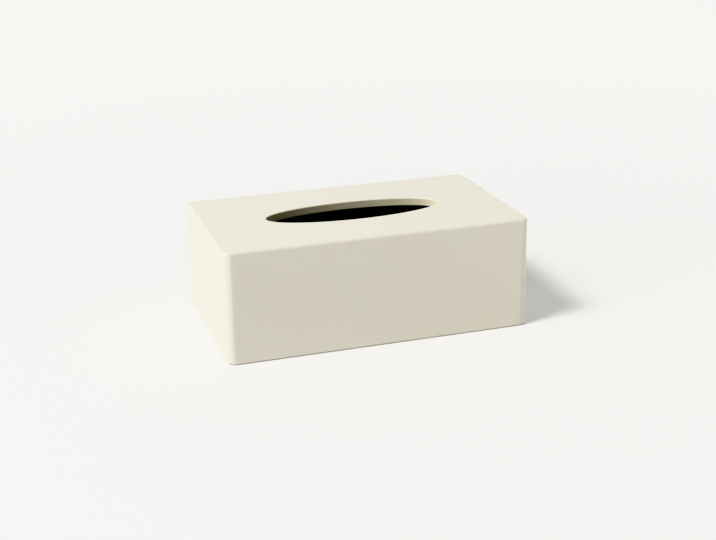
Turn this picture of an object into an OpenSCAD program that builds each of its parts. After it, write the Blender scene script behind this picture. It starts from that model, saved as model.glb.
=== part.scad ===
// Tissue box cover: five mitred boards, lacquered outside and in, which lift off a recessed base.
// Millimetres. X runs along the front, Y towards the back, Z up; z = 0 is the table, at the middle of the box.

/* [Cover] */
// Length along the front
cover_w = 260; // [220:2:300]
// Depth from front to back
cover_d = 150; // [132:2:180]
// Height of the top above the table
cover_h = 95; // [70:1:130]
// Thickness of the cover's boards
board_t = 7; // [4:0.5:9]
// Radius of the vertical corners
corner_r = 7; // [4:0.5:12]
// Radius along the top edges
top_r = 2.5; // [1:0.25:3.5]
// Radius along the foot of the walls
foot_r = 1.5; // [0.5:0.25:3]
// Gap between the foot of the walls and the table
foot_gap = 0.75; // [0.5:0.25:2]
// Bevel along the inner edge of the walls' foot
foot_bevel = 0.5; // [0.2:0.1:1]

/* [Opening] */
// Length of the elliptical opening
slot_l = 152; // [120:1:180]
// Width of the elliptical opening
slot_w = 50; // [36:1:70]
// Bevel round both rims of the opening
slot_bevel = 0.6; // [0.2:0.1:1.2]

/* [Base] */
// Thickness of the base board
base_t = 5; // [3:0.5:8]
// Clearance between the base and the walls
base_gap = 0.75; // [0.3:0.05:1.5]
// Radius of the base's corners
base_corner_r = 2; // [1:0.5:5]
// Bevel along the base's upper and lower edges
base_bevel = 0.5; // [0.2:0.1:1]
// Diameter of the finger hole that the base is pulled out by
finger_d = 22; // [16:1:30]
// Bevel round both rims of the finger hole
finger_bevel = 1; // [0.5:0.25:1.5]

/* [Corner blocks] */
// Length of a block along the front or back wall
block_l = 24; // [16:1:32]
// Depth of a block out from that wall
block_d = 9; // [8:0.5:12]
// Height of a block
block_h = 12; // [8:1:20]
// Bevel that leads the carton past a block's free corner
block_bevel = 3; // [1:0.5:5]

/* [Magnets and pads] */
// Diameter of a magnet
magnet_d = 6; // [4:0.5:7]
// Thickness of a magnet
magnet_t = 3; // [1.5:0.5:5]
// Diameter of a steel strike disc
strike_d = 8; // [6:0.5:12]
// Thickness of a steel strike disc
strike_t = 1; // [0.5:0.25:2]
// Diameter of a pad
pad_d = 12; // [8:1:20]
// Thickness of a pad, which sets how high the base stands
pad_t = 1.5; // [1.2:0.1:3]
// Inset of a pad's edge from the edges of the base
pad_inset = 8; // [3:1:20]

/* [Hidden] */
$fn = 96;

// Colours of the finishes
cream_lacquer = "#ECE6D8";
black_lacquer = "#161514";
bare_wood = "#B48E63";
nickel = "#B9BABB";
zinc = "#9C9FA2";
rubber = "#1E1E1F";

// Corners, as signs along X and Y
front_left = [-1, -1];
front_right = [1, -1];
back_left = [-1, 1];
back_right = [1, 1];
corners = [front_left, front_right, back_left, back_right];

// Overrun of a cut past the face that it opens
over = 1;
// Sides of the ellipses that bound the bevels of the opening
slot_fn = 128;

// Space inside the walls
inner_w = cover_w - 2 * board_t;
inner_d = cover_d - 2 * board_t;
inner_top = cover_h - board_t;
// Reach of a mitre's cutting space past the outer face
mitre_reach = board_t + over;
// Block inside the rounded edges, whose corners are the axes of the cover's vertical corners
core_w = cover_w - 2 * corner_r;
core_d = cover_d - 2 * corner_r;
// Base, and the height of its top, which the blocks rest on
base_w = inner_w - 2 * base_gap;
base_d = inner_d - 2 * base_gap;
seat_z = pad_t + base_t;
// Middles of the blocks, where the magnets and the strikes lie
magnet_x = (inner_w - block_l) / 2;
magnet_y = (inner_d - block_d) / 2;
// Middles of the pads
pad_x = (base_w - pad_d) / 2 - pad_inset;
pad_y = (base_d - pad_d) / 2 - pad_inset;

// What a rounding of radius r takes off a right-angled edge, with the rounding's centre at the origin
module edge_waste(r) {
    difference() {
        square(r + over);
        circle(r);
    }
}

// Section through the rounded edge of the cover, from the axis of a vertical corner out to the face
module edge_section() {
    difference() {
        translate([0, foot_gap]) square([corner_r, cover_h - foot_gap]);
        translate([corner_r - top_r, cover_h - top_r]) edge_waste(top_r);
        translate([corner_r - foot_r, foot_gap + foot_r]) mirror([0, 1]) edge_waste(foot_r);
    }
}

// The whole cover as one rounded block, which the boards are cut from
module rounded_block() {
    translate([-core_w / 2, -core_d / 2, foot_gap]) cube([core_w, core_d, cover_h - foot_gap]);
    for (turn = [0, 180]) rotate(turn) {
        translate([-core_w / 2, core_d / 2, 0]) rotate([90, 0, 90]) linear_extrude(core_w) edge_section();
        translate([core_w / 2, core_d / 2, 0]) rotate([90, 0, 0]) linear_extrude(core_d) edge_section();
        translate([core_w / 2, core_d / 2, 0]) rotate_extrude(angle = 90) edge_section();
        translate([-core_w / 2, core_d / 2, 0]) rotate(90) rotate_extrude(angle = 90) edge_section();
    }
}

// Space of one wall, mitred at both ends and along the top, with its inner face at y = inner_y
module wall_space(inner_l, inner_y) {
    intersection() {
        linear_extrude(cover_h + over) polygon([
            [-inner_l / 2, inner_y],
            [inner_l / 2, inner_y],
            [inner_l / 2 + mitre_reach, inner_y + mitre_reach],
            [-inner_l / 2 - mitre_reach, inner_y + mitre_reach]
        ]);
        translate([-inner_l / 2 - mitre_reach, 0, 0]) rotate([90, 0, 90])
            linear_extrude(inner_l + 2 * mitre_reach) polygon([
                [inner_y + foot_gap + foot_bevel, 0],
                [inner_y, foot_gap + foot_bevel],
                [inner_y, inner_top],
                [inner_y + mitre_reach, inner_top + mitre_reach],
                [inner_y + mitre_reach, 0]
            ]);
    }
}

module wall(inner_l, inner_y, turn) {
    color(cream_lacquer) intersection() {
        rounded_block();
        rotate(turn) wall_space(inner_l, inner_y);
    }
}

// Space of the top along one axis: as wide as the inside where it meets the walls, and wider above
module top_space(inner_l, length) {
    translate([0, length / 2, 0]) rotate([90, 0, 0]) linear_extrude(length) polygon([
        [-inner_l / 2, inner_top],
        [inner_l / 2, inner_top],
        [inner_l / 2 + mitre_reach, inner_top + mitre_reach],
        [-inner_l / 2 - mitre_reach, inner_top + mitre_reach]
    ]);
}

module ellipse(l, w) {
    scale([l / 2, w / 2]) circle(1);
}

// Bevel of the opening's upper rim, with both its ends run past the faces it meets
module slot_bevel_cut() {
    low_l = slot_l - 2 * over;
    low_w = slot_w - 2 * over;
    high_l = slot_l + 2 * (slot_bevel + over);
    high_w = slot_w + 2 * (slot_bevel + over);
    translate([0, 0, cover_h - slot_bevel - over])
        linear_extrude(slot_bevel + 2 * over, scale = [high_l / low_l, high_w / low_w], slices = 1)
            ellipse(low_l, low_w, $fn = slot_fn);
}

module top_panel() {
    color(cream_lacquer) difference() {
        intersection() {
            rounded_block();
            top_space(inner_w, cover_d);
            rotate(90) top_space(inner_d, cover_w);
        }
        translate([0, 0, inner_top - over]) linear_extrude(board_t + 2 * over) ellipse(slot_l, slot_w);
        slot_bevel_cut();
        translate([0, 0, inner_top + cover_h]) mirror([0, 0, 1]) slot_bevel_cut();
    }
}

module front_panel() wall(inner_w, inner_d / 2, 180);

module back_panel() wall(inner_w, inner_d / 2, 0);

module left_end_panel() wall(inner_d, inner_w / 2, 90);

module right_end_panel() wall(inner_d, inner_w / 2, -90);

// Places a piece that is drawn for the back right corner in another corner
module at_corner(corner) {
    mirror([corner[0] < 0 ? 1 : 0, 0, 0]) mirror([0, corner[1] < 0 ? 1 : 0, 0]) children();
}

// Wood block glued into a lower corner of the cover, with a blind hole for its magnet
module corner_block(corner) {
    color(bare_wood) at_corner(corner) difference() {
        translate([inner_w / 2 - block_l, inner_d / 2 - block_d, seat_z]) linear_extrude(block_h) polygon([
            [block_bevel, 0],
            [block_l, 0],
            [block_l, block_d],
            [0, block_d],
            [0, block_bevel]
        ]);
        translate([magnet_x, magnet_y, seat_z - over]) cylinder(d = magnet_d, h = magnet_t + over);
    }
}

module magnet(corner) {
    color(nickel) at_corner(corner) translate([magnet_x, magnet_y, seat_z]) cylinder(d = magnet_d, h = magnet_t);
}

module base_outline() {
    difference() {
        square([base_w, base_d], center = true);
        for (corner = corners) at_corner(corner)
            translate([base_w / 2 - base_corner_r, base_d / 2 - base_corner_r]) edge_waste(base_corner_r);
    }
}

// Space of the base along one axis, with its upper and lower edges bevelled
module base_space(w, length) {
    translate([0, length / 2, 0]) rotate([90, 0, 0]) linear_extrude(length) polygon([
        [-w / 2, pad_t + base_bevel],
        [-w / 2 + base_bevel, pad_t],
        [w / 2 - base_bevel, pad_t],
        [w / 2, pad_t + base_bevel],
        [w / 2, seat_z - base_bevel],
        [w / 2 - base_bevel, seat_z],
        [-w / 2 + base_bevel, seat_z],
        [-w / 2, seat_z - base_bevel]
    ]);
}

// Bevel of the finger hole's upper rim, run past the faces it meets
module finger_bevel_cut() {
    translate([0, 0, seat_z - finger_bevel - over])
        cylinder(d1 = finger_d - 2 * over, d2 = finger_d + 2 * (finger_bevel + over), h = finger_bevel + 2 * over);
}

module base_panel() {
    color(black_lacquer) difference() {
        intersection() {
            linear_extrude(seat_z + over) base_outline();
            base_space(base_w, base_d);
            rotate(90) base_space(base_d, base_w);
        }
        translate([0, 0, pad_t - over]) cylinder(d = finger_d, h = base_t + 2 * over);
        finger_bevel_cut();
        translate([0, 0, pad_t + seat_z]) mirror([0, 0, 1]) finger_bevel_cut();
        for (corner = corners) at_corner(corner)
            translate([magnet_x, magnet_y, seat_z - strike_t]) cylinder(d = strike_d, h = strike_t + over);
    }
}

module strike(corner) {
    color(zinc) at_corner(corner)
        translate([magnet_x, magnet_y, seat_z - strike_t]) cylinder(d = strike_d, h = strike_t);
}

module pad(corner) {
    color(rubber) at_corner(corner) translate([pad_x, pad_y, 0]) cylinder(d = pad_d, h = pad_t);
}

top_panel();
front_panel();
back_panel();
left_end_panel();
right_end_panel();
corner_block(front_left);  // corner_block_front_left
corner_block(front_right);  // corner_block_front_right
corner_block(back_left);  // corner_block_back_left
corner_block(back_right);  // corner_block_back_right
magnet(front_left);  // magnet_front_left
magnet(front_right);  // magnet_front_right
magnet(back_left);  // magnet_back_left
magnet(back_right);  // magnet_back_right
base_panel();
strike(front_left);  // strike_front_left
strike(front_right);  // strike_front_right
strike(back_left);  // strike_back_left
strike(back_right);  // strike_back_right
pad(front_left);  // pad_front_left
pad(front_right);  // pad_front_right
pad(back_left);  // pad_back_left
pad(back_right);  // pad_back_right
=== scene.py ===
"""Tissue box cover in satin cream lacquer, which lifts off a black base: finishes, base board, light and camera."""
import math

import bmesh
import bpy
import numpy as np
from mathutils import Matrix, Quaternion, Vector


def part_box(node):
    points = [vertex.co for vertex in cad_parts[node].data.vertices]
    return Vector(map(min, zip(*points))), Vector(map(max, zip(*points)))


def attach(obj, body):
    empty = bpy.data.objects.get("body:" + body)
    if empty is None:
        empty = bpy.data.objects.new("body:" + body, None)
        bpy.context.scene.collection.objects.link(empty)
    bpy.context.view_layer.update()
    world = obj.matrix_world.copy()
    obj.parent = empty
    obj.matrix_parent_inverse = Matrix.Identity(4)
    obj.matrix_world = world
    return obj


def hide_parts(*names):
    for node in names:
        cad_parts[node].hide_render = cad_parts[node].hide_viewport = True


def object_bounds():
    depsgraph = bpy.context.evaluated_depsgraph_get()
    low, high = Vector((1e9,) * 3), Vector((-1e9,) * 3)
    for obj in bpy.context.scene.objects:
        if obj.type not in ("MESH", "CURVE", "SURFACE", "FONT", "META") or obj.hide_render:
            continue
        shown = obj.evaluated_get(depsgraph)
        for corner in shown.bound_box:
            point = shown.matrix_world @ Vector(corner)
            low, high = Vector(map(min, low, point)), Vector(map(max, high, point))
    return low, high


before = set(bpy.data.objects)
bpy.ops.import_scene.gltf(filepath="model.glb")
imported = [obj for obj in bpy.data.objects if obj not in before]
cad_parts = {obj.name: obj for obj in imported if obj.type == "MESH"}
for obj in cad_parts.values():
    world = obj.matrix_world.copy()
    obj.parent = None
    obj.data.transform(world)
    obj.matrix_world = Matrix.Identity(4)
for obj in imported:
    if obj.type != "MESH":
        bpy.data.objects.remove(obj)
cad_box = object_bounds()

# The five boards of the cover: 7 mm fibreboard, mitred, glued and rounded over, then sprayed outside with satin
# cream lacquer and on the inner faces with black. The cut edge of the opening soaks up the lacquer, so there it
# is thinner and yellower than on the faces. Its colour is also painted lighter than the faces' cream: painted
# light that stands in for the light the edge lacks in the shade of the opening.
BOARDS = ("top_panel", "front_panel", "back_panel", "left_end_panel", "right_end_panel")
CREAM = "#E8E3D6"
CREAM_THIN = "#E4DECF"
CUT_EDGE_PAINTED_LIGHT = "#F3EBD0"
CUT_EDGE_THIN_PAINTED_LIGHT = "#ECE4C4"
INSIDE_BLACK = "#0B0A09"
OPENING_MM = (152.0, 50.0)
OPENING_BEVEL_MM = 0.6
CLOUD_MM = 70.0
FIBRE_MM = 4.0
PEEL_MM = 2.4
PEEL_HEIGHT_MM = 0.012
CREAM_ROUGHNESS = (0.40, 0.46)
LACQUER_IOR = 1.5
MASK_EDGE_MM = 0.15


def linear(code):
    """Linear colour of an sRGB hex code."""
    parts = [int(code[i : i + 2], 16) / 255 for i in (1, 3, 5)]
    return [c / 12.92 if c <= 0.04045 else ((c + 0.055) / 1.055) ** 2.4 for c in parts] + [1.0]


def add(tree, kind, links=None, **settings):
    """Adds a node, with settings as properties, and links or plain values by input name or number."""
    node = tree.nodes.new(kind)
    for name, value in settings.items():
        setattr(node, name, value)
    for name, value in (links or {}).items():
        if isinstance(value, bpy.types.NodeSocket):
            tree.links.new(value, node.inputs[name])
        else:
            node.inputs[name].default_value = value
    return node


def new_material(name):
    """A material with an empty shader, its tree and its Object coordinates."""
    material = bpy.data.materials.new(name)
    material.use_nodes = True
    tree = material.node_tree
    place = add(tree, "ShaderNodeTexCoord").outputs["Object"]
    return material, tree, tree.nodes["Principled BSDF"], place


def dress(names, material):
    """Puts a material in the slots of CAD nodes."""
    for name in names:
        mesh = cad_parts[name].data
        mesh.materials.clear()
        mesh.materials.append(material)


def orange_peel(tree, shader, place):
    """The shallow dimples that sprayed lacquer dries with."""
    peel = add(tree, "ShaderNodeTexNoise", {"Vector": place, "Scale": 1000 / PEEL_MM, "Detail": 2.0}).outputs[0]
    bump = add(tree, "ShaderNodeBump", {"Height": peel, "Distance": PEEL_HEIGHT_MM / 1000, "Strength": 1.0})
    tree.links.new(bump.outputs[0], shader.inputs["Normal"])


def board_finish():
    """Satin sprayed lacquer on fibreboard: soft broad gloss, and a fine orange peel that breaks it up close to."""
    material, tree, shader, place = new_material("satin_cream_lacquer")
    inner = Vector((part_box("right_end_panel")[0].x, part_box("back_panel")[0].y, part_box("top_panel")[0].z))
    inner += Vector((MASK_EDGE_MM, MASK_EDGE_MM, MASK_EDGE_MM)) / 1000

    # Black only where all three coordinates lie inside the walls
    reach = add(tree, "ShaderNodeVectorMath", {0: place}, operation="ABSOLUTE").outputs[0]
    past = add(tree, "ShaderNodeVectorMath", {0: reach, 1: inner}, operation="SUBTRACT").outputs[0]
    past = add(tree, "ShaderNodeSeparateXYZ", {0: past}).outputs
    furthest = add(tree, "ShaderNodeMath", {0: past["X"], 1: past["Y"]}, operation="MAXIMUM").outputs[0]
    furthest = add(tree, "ShaderNodeMath", {0: furthest, 1: past["Z"]}, operation="MAXIMUM").outputs[0]
    inside = add(tree, "ShaderNodeMath", {0: furthest, 1: 0.0}, operation="LESS_THAN").outputs[0]

    # The cut edge of the opening: all that lies inside an ellipse which takes in half of each bevel
    half = [(size / 2 + OPENING_BEVEL_MM / 2) / 1000 for size in OPENING_MM]
    squeezed = add(tree, "ShaderNodeVectorMath", {0: place, 1: (1 / half[0], 1 / half[1], 0.0)}, operation="MULTIPLY")
    radius = add(tree, "ShaderNodeVectorMath", {0: squeezed.outputs[0]}, operation="LENGTH").outputs["Value"]
    cut = add(tree, "ShaderNodeMath", {0: radius, 1: 1.0}, operation="LESS_THAN").outputs[0]

    cloud = add(tree, "ShaderNodeTexNoise", {"Vector": place, "Scale": 1000 / CLOUD_MM, "Detail": 3.0}).outputs[0]
    fibre = add(tree, "ShaderNodeTexNoise", {"Vector": place, "Scale": 1000 / FIBRE_MM, "Detail": 4.0}).outputs[0]
    face = add(tree, "ShaderNodeMix", {0: cloud, 6: linear(CREAM), 7: linear(CREAM_THIN)}, data_type="RGBA")
    # The cut edge: yellower, as thin lacquer over the board, and painted lighter than the faces, painted light for
    # the shaded opening
    edge = add(tree, "ShaderNodeMix", {0: fibre, 6: linear(CUT_EDGE_PAINTED_LIGHT), 7: linear(CUT_EDGE_THIN_PAINTED_LIGHT)}, data_type="RGBA")
    colour = add(tree, "ShaderNodeMix", {0: cut, 6: face.outputs[2], 7: edge.outputs[2]}, data_type="RGBA").outputs[2]
    black = linear(INSIDE_BLACK)
    colour = add(tree, "ShaderNodeMix", {0: inside, 6: colour, 7: black}, data_type="RGBA").outputs[2]
    tree.links.new(colour, shader.inputs["Base Color"])

    orange_peel(tree, shader, place)
    smooth, rough = CREAM_ROUGHNESS
    gloss = add(tree, "ShaderNodeMapRange", {0: cloud, 3: smooth, 4: rough}).outputs[0]
    tree.links.new(gloss, shader.inputs["Roughness"])
    shader.inputs["IOR"].default_value = LACQUER_IOR
    return material


dress(BOARDS, board_finish())

# The base: 5 mm fibreboard sprayed black, which lies inside the walls on its four pads. The round hole in the
# middle is for a finger, and fingers have rubbed the lacquer off its bevel here and there.
BASE_BLACK = "#100F0E"
BASE_BLACK_DUSTY = "#171615"
RUBBED_BROWN = "#5A4531"
FINGER_RIM_MM = (10.6, 12.4)
RUB_MM = 6.0
WORN_BETWEEN = (0.56, 0.64)
DUST_MM = 24.0
BASE_ROUGHNESS = (0.38, 0.47)


def base_finish():
    """Satin black lacquer: nearly black, with dust that greys it in clouds, and brown board at the rubbed bevel."""
    material, tree, shader, place = new_material("satin_black_lacquer")
    flat = add(tree, "ShaderNodeVectorMath", {0: place, 1: (1.0, 1.0, 0.0)}, operation="MULTIPLY").outputs[0]
    radius = add(tree, "ShaderNodeVectorMath", {0: flat}, operation="LENGTH").outputs["Value"]
    low, high = (r / 1000 for r in FINGER_RIM_MM)
    rim = add(tree, "ShaderNodeMath", {0: radius, 1: (low + high) / 2, 2: (high - low) / 2}, operation="COMPARE")
    patch = add(tree, "ShaderNodeTexNoise", {"Vector": place, "Scale": 1000 / RUB_MM, "Detail": 5.0}).outputs[0]
    worn = add(tree, "ShaderNodeMapRange", {0: patch, 1: WORN_BETWEEN[0], 2: WORN_BETWEEN[1]}).outputs[0]
    rubbed = add(tree, "ShaderNodeMath", {0: rim.outputs[0], 1: worn}, operation="MULTIPLY").outputs[0]
    dust = add(tree, "ShaderNodeTexNoise", {"Vector": place, "Scale": 1000 / DUST_MM, "Detail": 6.0}).outputs[0]
    clean, dusty = linear(BASE_BLACK), linear(BASE_BLACK_DUSTY)
    black = add(tree, "ShaderNodeMix", {0: dust, 6: clean, 7: dusty}, data_type="RGBA").outputs[2]
    brown = linear(RUBBED_BROWN)
    colour = add(tree, "ShaderNodeMix", {0: rubbed, 6: black, 7: brown}, data_type="RGBA").outputs[2]
    tree.links.new(colour, shader.inputs["Base Color"])
    orange_peel(tree, shader, place)
    smooth, rough = BASE_ROUGHNESS
    gloss = add(tree, "ShaderNodeMapRange", {0: dust, 3: smooth, 4: rough}).outputs[0]
    tree.links.new(gloss, shader.inputs["Roughness"])
    return material


# The board is made here for the sake of its recesses: the steel discs are 6 mm wide, like the magnets above them,
# and lie inside the bevelled edge. The CAD's discs are 8 mm wide and run out through it by a quarter of a millimetre.
CORNERS = ("front_left", "front_right", "back_left", "back_right")
BASE_CORNER_MM = 2.0
BASE_BEVEL_MM = 0.5
FINGER_MM = 22.0
FINGER_BEVEL_MM = 1.0
DISC_MM = 6.0
DISC_ROUND_MM = 0.12
OVERRUN_MM = 1.0
ARC_STEPS = 24
SAME_POINT_M = 1e-7
SMOOTH_DEGREES = 30


def carried(name, half_x, half_y, radius, profile, middle=(0.0, 0.0)):
    """A closed solid, from sizes in millimetres: a profile of (inset, height) carried round a rectangle with rounded
    corners, with flat ends. A point is its corner's centre, plus the radius less the inset along its direction, which
    turns by 90 degrees at each corner. Where the half sizes are the radius, that is a circle."""
    turn = np.radians(90 * np.arange(4)[:, None] + np.linspace(0, 90, ARC_STEPS + 1))
    direction = np.stack((np.cos(turn), np.sin(turn)), axis=-1)
    centre = np.array([[[1, 1]], [[-1, 1]], [[-1, -1]], [[1, -1]]]) * (half_x - radius, half_y - radius) + middle
    inset, height = np.array(profile).T[:, :, None, None, None]
    flat = centre + (radius - inset) * direction
    points = np.concatenate((flat, np.broadcast_to(height, flat.shape[:3] + (1,))), axis=-1).reshape(-1, 3) / 1000

    # Each point's face joins it to the next one round and to the two above them
    low = np.arange(len(points)).reshape(len(profile), -1)
    after = np.roll(low, -1, axis=1)
    walls = np.stack((low[:-1], after[:-1], after[1:], low[1:]), axis=-1).reshape(-1, 4)
    mesh = bpy.data.meshes.new(name)
    mesh.from_pydata(points.tolist(), [], walls.tolist() + [low[0, ::-1].tolist(), low[-1].tolist()])

    # On a circle the arcs' ends fall together
    merged = bmesh.new()
    merged.from_mesh(mesh)
    bmesh.ops.remove_doubles(merged, verts=merged.verts, dist=SAME_POINT_M)
    merged.to_mesh(mesh)
    merged.free()
    piece = bpy.data.objects.new(name, mesh)
    bpy.context.scene.collection.objects.link(piece)
    return piece


def cut_out(piece, cutters):
    """Takes the cutters out of a piece and out of the scene."""
    for cutter in cutters:
        cut = piece.modifiers.new(cutter.name, "BOOLEAN")
        cut.object = cutter
        cut.operation = "DIFFERENCE"
        cut.solver = "EXACT"
    whole = piece.evaluated_get(bpy.context.evaluated_depsgraph_get())
    mesh = bpy.data.meshes.new_from_object(whole)
    piece.modifiers.clear()
    piece.data = mesh
    for cutter in cutters:
        bpy.data.objects.remove(cutter)


def finish_piece(piece, material, body, node):
    """Gives a made piece its smooth arcs, material and slot, and puts it in the place of its CAD node."""
    piece.data.shade_smooth()
    piece.data.set_sharp_from_angle(angle=math.radians(SMOOTH_DEGREES))
    piece.data.materials.append(material)
    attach(piece, body)
    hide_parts(node)


def disc_seat(corner):
    """Foot, top and middle of a corner's steel disc in millimetres, from the CAD's."""
    low, high = (end * 1000 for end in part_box(f"strike_{corner}"))
    middle = (low + high) / 2
    return low.z, high.z, (middle.x, middle.y)


def make_base():
    """The board with its finger hole, bevelled at both rims, and a recess for each steel disc."""
    low, high = (corner * 1000 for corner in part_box("base_panel"))
    half_x, half_y = high.x, high.y
    bevel = BASE_BEVEL_MM
    profile = ((bevel, low.z), (0.0, low.z + bevel), (0.0, high.z - bevel), (bevel, high.z))
    board = carried("base_board", half_x, half_y, BASE_CORNER_MM, profile)
    r = FINGER_MM / 2
    reach = FINGER_BEVEL_MM + OVERRUN_MM
    profile = (
        (-reach, low.z - OVERRUN_MM), (0.0, low.z + FINGER_BEVEL_MM),
        (0.0, high.z - FINGER_BEVEL_MM), (-reach, high.z + OVERRUN_MM),
    )
    cutters = [carried("finger_cut", r, r, r, profile)]
    r = DISC_MM / 2
    for corner in CORNERS:
        foot, top, middle = disc_seat(corner)
        cutters.append(carried(f"recess_{corner}", r, r, r, ((0.0, foot), (0.0, top + OVERRUN_MM)), middle))
    cut_out(board, cutters)
    finish_piece(board, base_finish(), "base", "base_panel")


make_base()

# The corner blocks: bare pine, sawn from a strip and planed, glued into the cover's four lower corners. The base
# closes against their undersides, and the magnets are let into them. The grain runs along each block.
PINE_EARLY = "#D0AC7A"
PINE_LATE = "#A87C4A"
RING_MM = 4.34
RING_SHARPNESS = 3.0
GRAIN_MM = 0.5
GRAIN_STRETCH = 14.0
GRAIN_HEIGHT_MM = 0.03
GRAIN_SHARE = 0.3
PINE_ROUGHNESS = (0.55, 0.7)


def pine_finish():
    """Bare planed pine: pale wood between darker lines of late wood along X, with short dull fibres."""
    material, tree, shader, place = new_material("bare_pine")
    along = add(tree, "ShaderNodeMapping", {"Vector": place, "Scale": (1 / GRAIN_STRETCH, 1.0, 1.0)}).outputs[0]
    # A wave texture turns by 20 for each unit, so its bands lie tau / 20 apart
    scale = 1000 / RING_MM * math.tau / 20
    rings = add(
        tree, "ShaderNodeTexWave", {"Vector": along, "Scale": scale, "Distortion": 3.0, "Detail": 2.0},
        wave_type="BANDS", bands_direction="Y", wave_profile="SAW",
    ).outputs["Fac"]
    fibres = add(tree, "ShaderNodeTexNoise", {"Vector": along, "Scale": 1000 / GRAIN_MM, "Detail": 4.0}).outputs[0]
    line = add(tree, "ShaderNodeMath", {0: rings, 1: RING_SHARPNESS}, operation="POWER").outputs[0]
    shade = add(tree, "ShaderNodeMix", {0: GRAIN_SHARE, 2: line, 3: fibres}).outputs[0]
    early, late = linear(PINE_EARLY), linear(PINE_LATE)
    wood = add(tree, "ShaderNodeMix", {0: shade, 6: early, 7: late}, data_type="RGBA").outputs[2]
    tree.links.new(wood, shader.inputs["Base Color"])
    bump = add(tree, "ShaderNodeBump", {"Height": fibres, "Distance": GRAIN_HEIGHT_MM / 1000, "Strength": 1.0})
    tree.links.new(bump.outputs[0], shader.inputs["Normal"])
    smooth, rough = PINE_ROUGHNESS
    gloss = add(tree, "ShaderNodeMapRange", {0: fibres, 3: smooth, 4: rough}).outputs[0]
    tree.links.new(gloss, shader.inputs["Roughness"])
    return material


dress([f"corner_block_{corner}" for corner in CORNERS], pine_finish())

# The disc magnets in the blocks are sintered, ground and plated with bright nickel. The discs in the base that
# they pull on are punched from steel sheet and zinc plated, which is greyer, with a faint spangle.
NICKEL = "#CFC9BE"
NICKEL_DULL = "#B7B0A4"
ZINC = "#B3B8BF"
ZINC_DULL = "#8F959D"
SCUFF_MM = 0.8
SPANGLE_MM = 1.4
NICKEL_ROUGHNESS = (0.16, 0.34)
ZINC_ROUGHNESS = (0.3, 0.5)


def plated(name, bright, dull, pattern, roughness):
    """A plated metal disc: a pattern of two close tones, rougher where it is duller."""
    material, tree, shader, place = new_material(name)
    kind, socket, scale = pattern
    tone = add(tree, kind, {"Vector": place, "Scale": scale}).outputs[socket]
    colour = add(tree, "ShaderNodeMix", {0: tone, 6: linear(bright), 7: linear(dull)}, data_type="RGBA").outputs[2]
    tree.links.new(colour, shader.inputs["Base Color"])
    smooth, rough = roughness
    gloss = add(tree, "ShaderNodeMapRange", {0: tone, 3: smooth, 4: rough}).outputs[0]
    tree.links.new(gloss, shader.inputs["Roughness"])
    shader.inputs["Metallic"].default_value = 1.0
    return material


scuffs = ("ShaderNodeTexNoise", "Fac", 1000 / SCUFF_MM)
spangle = ("ShaderNodeTexVoronoi", "Distance", 1000 / SPANGLE_MM)
nickel = plated("nickel_plate", NICKEL, NICKEL_DULL, scuffs, NICKEL_ROUGHNESS)
zinc = plated("zinc_plate", ZINC, ZINC_DULL, spangle, ZINC_ROUGHNESS)
dress([f"magnet_{corner}" for corner in CORNERS], nickel)
for corner in CORNERS:
    foot, top, middle = disc_seat(corner)
    r, edge = DISC_MM / 2, DISC_ROUND_MM
    profile = ((edge, foot), (0.0, foot + edge), (0.0, top - edge), (edge, top))
    disc = carried(f"steel_disc_{corner}", r, r, r, profile, middle)
    finish_piece(disc, zinc, "base", f"strike_{corner}")

# The pads: non-slip rubber discs, die cut from a sheet and stuck under the base, matt with a fine moulded grain.
RUBBER_BLACK = "#151515"
RUBBER_WORN = "#262625"
RUBBER_GRAIN_MM = 0.35
RUBBER_GRAIN_HEIGHT_MM = 0.05
RUBBER_ROUGHNESS = (0.75, 0.9)


def rubber_finish():
    """Cut sheet rubber: matt black that greys where it has rubbed, under a fine even grain."""
    material, tree, shader, place = new_material("matt_black_rubber")
    worn = add(tree, "ShaderNodeTexNoise", {"Vector": place, "Scale": 1000 / RUB_MM, "Detail": 4.0}).outputs[0]
    black, grey = linear(RUBBER_BLACK), linear(RUBBER_WORN)
    colour = add(tree, "ShaderNodeMix", {0: worn, 6: black, 7: grey}, data_type="RGBA").outputs[2]
    tree.links.new(colour, shader.inputs["Base Color"])
    grain = add(tree, "ShaderNodeTexVoronoi", {"Vector": place, "Scale": 1000 / RUBBER_GRAIN_MM}).outputs["Distance"]
    bump = add(tree, "ShaderNodeBump", {"Height": grain, "Distance": RUBBER_GRAIN_HEIGHT_MM / 1000, "Strength": 1.0})
    tree.links.new(bump.outputs[0], shader.inputs["Normal"])
    smooth, rough = RUBBER_ROUGHNESS
    gloss = add(tree, "ShaderNodeMapRange", {0: worn, 3: smooth, 4: rough}).outputs[0]
    tree.links.new(gloss, shader.inputs["Roughness"])
    return material


dress([f"pad_{corner}" for corner in CORNERS], rubber_finish())

# The floor and the light are the photograph's plain studio. The floor is a sweep of white paper lit from below, so
# that shadows on it stay pale. The key and a window stand high at the left end, a small card stands near the right
# front, and far soft lamps fill in from the left, from above and from behind.
FLOOR_WHITE = "#EDEDED"
GLOW_WHITE = "#FFFEFA"
FLOOR_ROUGHNESS = 0.9
FLOOR_GLOSS = 0.2
FLOOR_GLOW = 0.232
FLOOR_GLOW_FAR = 0.70
GLOW_RISE_M = (0.2, 1.2)
# Edges of the painted shadow under the cover, in mm past its outline
PAINTED_SHADOW_EDGE_MM = (-3.5, -0.5)
FLOOR_HALF_M = 12.0
WORLD_WHITE = "#FEFFFF"
WORLD_STRENGTH = 0.885


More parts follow.
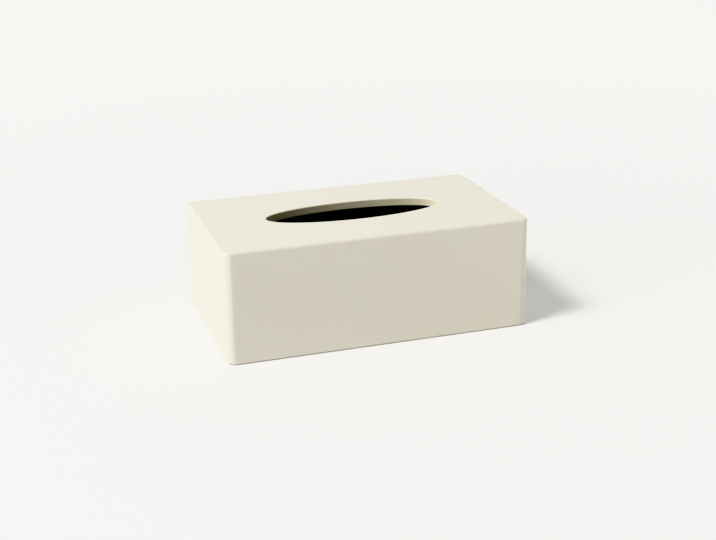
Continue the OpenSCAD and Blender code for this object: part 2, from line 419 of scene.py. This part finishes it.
def make_floor():
    """One square, far larger than the view."""
    mesh = bpy.data.meshes.new("floor")
    h = FLOOR_HALF_M
    mesh.from_pydata([(-h, -h, 0), (h, -h, 0), (h, h, 0), (-h, h, 0)], [], [(0, 1, 2, 3)])
    floor = bpy.data.objects.new("floor", mesh)
    bpy.context.scene.collection.objects.link(floor)
    material, tree, shader, place = new_material("white_sweep_paper")
    shader.inputs["Base Color"].default_value = linear(FLOOR_WHITE)
    shader.inputs["Roughness"].default_value = FLOOR_ROUGHNESS
    shader.inputs["Specular IOR Level"].default_value = FLOOR_GLOSS
    shader.inputs["Emission Color"].default_value = linear(GLOW_WHITE)

    # The sweep glows more farther out
    out = add(tree, "ShaderNodeVectorMath", {0: place}, operation="LENGTH").outputs["Value"]
    near, far = GLOW_RISE_M
    rise = {0: out, 1: near, 2: far, 3: FLOOR_GLOW, 4: FLOOR_GLOW_FAR}
    level = add(tree, "ShaderNodeMapRange", rise).outputs[0]

    # Painted shadow: no glow comes through where the cover stands at rest, a dark patch the size of its footprint,
    # which leaves the dark line under its foot
    half = Vector((cad_box[1].x, cad_box[1].y, 0.0))
    reach = add(tree, "ShaderNodeVectorMath", {0: place}, operation="ABSOLUTE").outputs[0]
    past = add(tree, "ShaderNodeVectorMath", {0: reach, 1: half}, operation="SUBTRACT").outputs[0]
    past = add(tree, "ShaderNodeSeparateXYZ", {0: past}).outputs
    outside = add(tree, "ShaderNodeMath", {0: past["X"], 1: past["Y"]}, operation="MAXIMUM").outputs[0]
    dark, lit = (edge / 1000 for edge in PAINTED_SHADOW_EDGE_MM)
    glow = add(tree, "ShaderNodeMapRange", {0: outside, 1: dark, 2: lit, 3: 0.0, 4: level}).outputs[0]
    tree.links.new(glow, shader.inputs["Emission Strength"])
    mesh.materials.append(material)


def lamp(name, azimuth, elevation, strength, spread, colour, distance=0.0):
    """A round lamp that faces the box from a distance in metres, spread being its diameter, or else a far one,
    spread being the angle it fills; azimuth 0 is in front of the box and 90 at its left end."""
    a, e = math.radians(azimuth), math.radians(elevation)
    towards = Vector((-math.sin(a) * math.cos(e), -math.cos(a) * math.cos(e), math.sin(e)))
    data = bpy.data.lights.new(name, "AREA" if distance else "SUN")
    if distance:
        data.shape = "DISK"
        data.size = spread
    else:
        data.angle = math.radians(spread)
    data.energy = strength
    data.color = linear(colour)[:3]
    stand = bpy.data.objects.new(name, data)
    stand.location = towards * distance
    stand.visible_camera = False
    stand.rotation_mode = "QUATERNION"
    stand.rotation_quaternion = towards.to_track_quat("Z", "Y")
    bpy.context.scene.collection.objects.link(stand)


make_floor()
lamp("key", azimuth=75.5, elevation=55, strength=9.09, spread=0.443, colour="#FEFFFD", distance=1.4)
lamp("window", azimuth=74, elevation=52, strength=1.512, spread=18, colour="#FFFDF6")
lamp("side", azimuth=90, elevation=15, strength=1.362, spread=40, colour="#EAF2FF")
lamp("overhead", azimuth=0, elevation=89, strength=0.319, spread=80, colour="#FFFEF9")
lamp("behind", azimuth=180, elevation=40, strength=0.411, spread=60, colour="#F9FCFF")
lamp("card", azimuth=-65, elevation=25, strength=0.14, spread=0.15, colour="#FFFCF5", distance=0.42)

# The world shows as background and in the gloss, and lights nothing else
world = bpy.data.worlds.new("studio")
bpy.context.scene.world = world
world.use_nodes = True
background = world.node_tree.nodes["Background"]
background.inputs["Color"].default_value = linear(WORLD_WHITE)
background.inputs["Strength"].default_value = WORLD_STRENGTH
world.cycles_visibility.diffuse = False

# The camera stands where the photograph was taken from: its place, aim, roll and lens were solved from the edges.
CAMERA_PLACE = Vector((-0.32277, -1.01593, 0.42359))
CAMERA_AIM = Vector((-0.00257, -0.01943, 0.0475))
CAMERA_ROLL = 0.808
LENS_MM = 65.84
SENSOR_MM = 36.0


def make_camera():
    """A plain lens without shift, rolled a little about its line of sight."""
    data = bpy.data.cameras.new("camera")
    data.lens = LENS_MM
    data.sensor_width = SENSOR_MM
    camera = bpy.data.objects.new("camera", data)
    look = (CAMERA_AIM - CAMERA_PLACE).normalized()
    camera.location = CAMERA_PLACE
    camera.rotation_mode = "QUATERNION"
    camera.rotation_quaternion = Quaternion(look, math.radians(CAMERA_ROLL)) @ look.to_track_quat("-Z", "Y")
    bpy.context.scene.collection.objects.link(camera)
    bpy.context.scene.camera = camera


make_camera()
bpy.context.scene.view_settings.view_transform = "Khronos PBR Neutral"
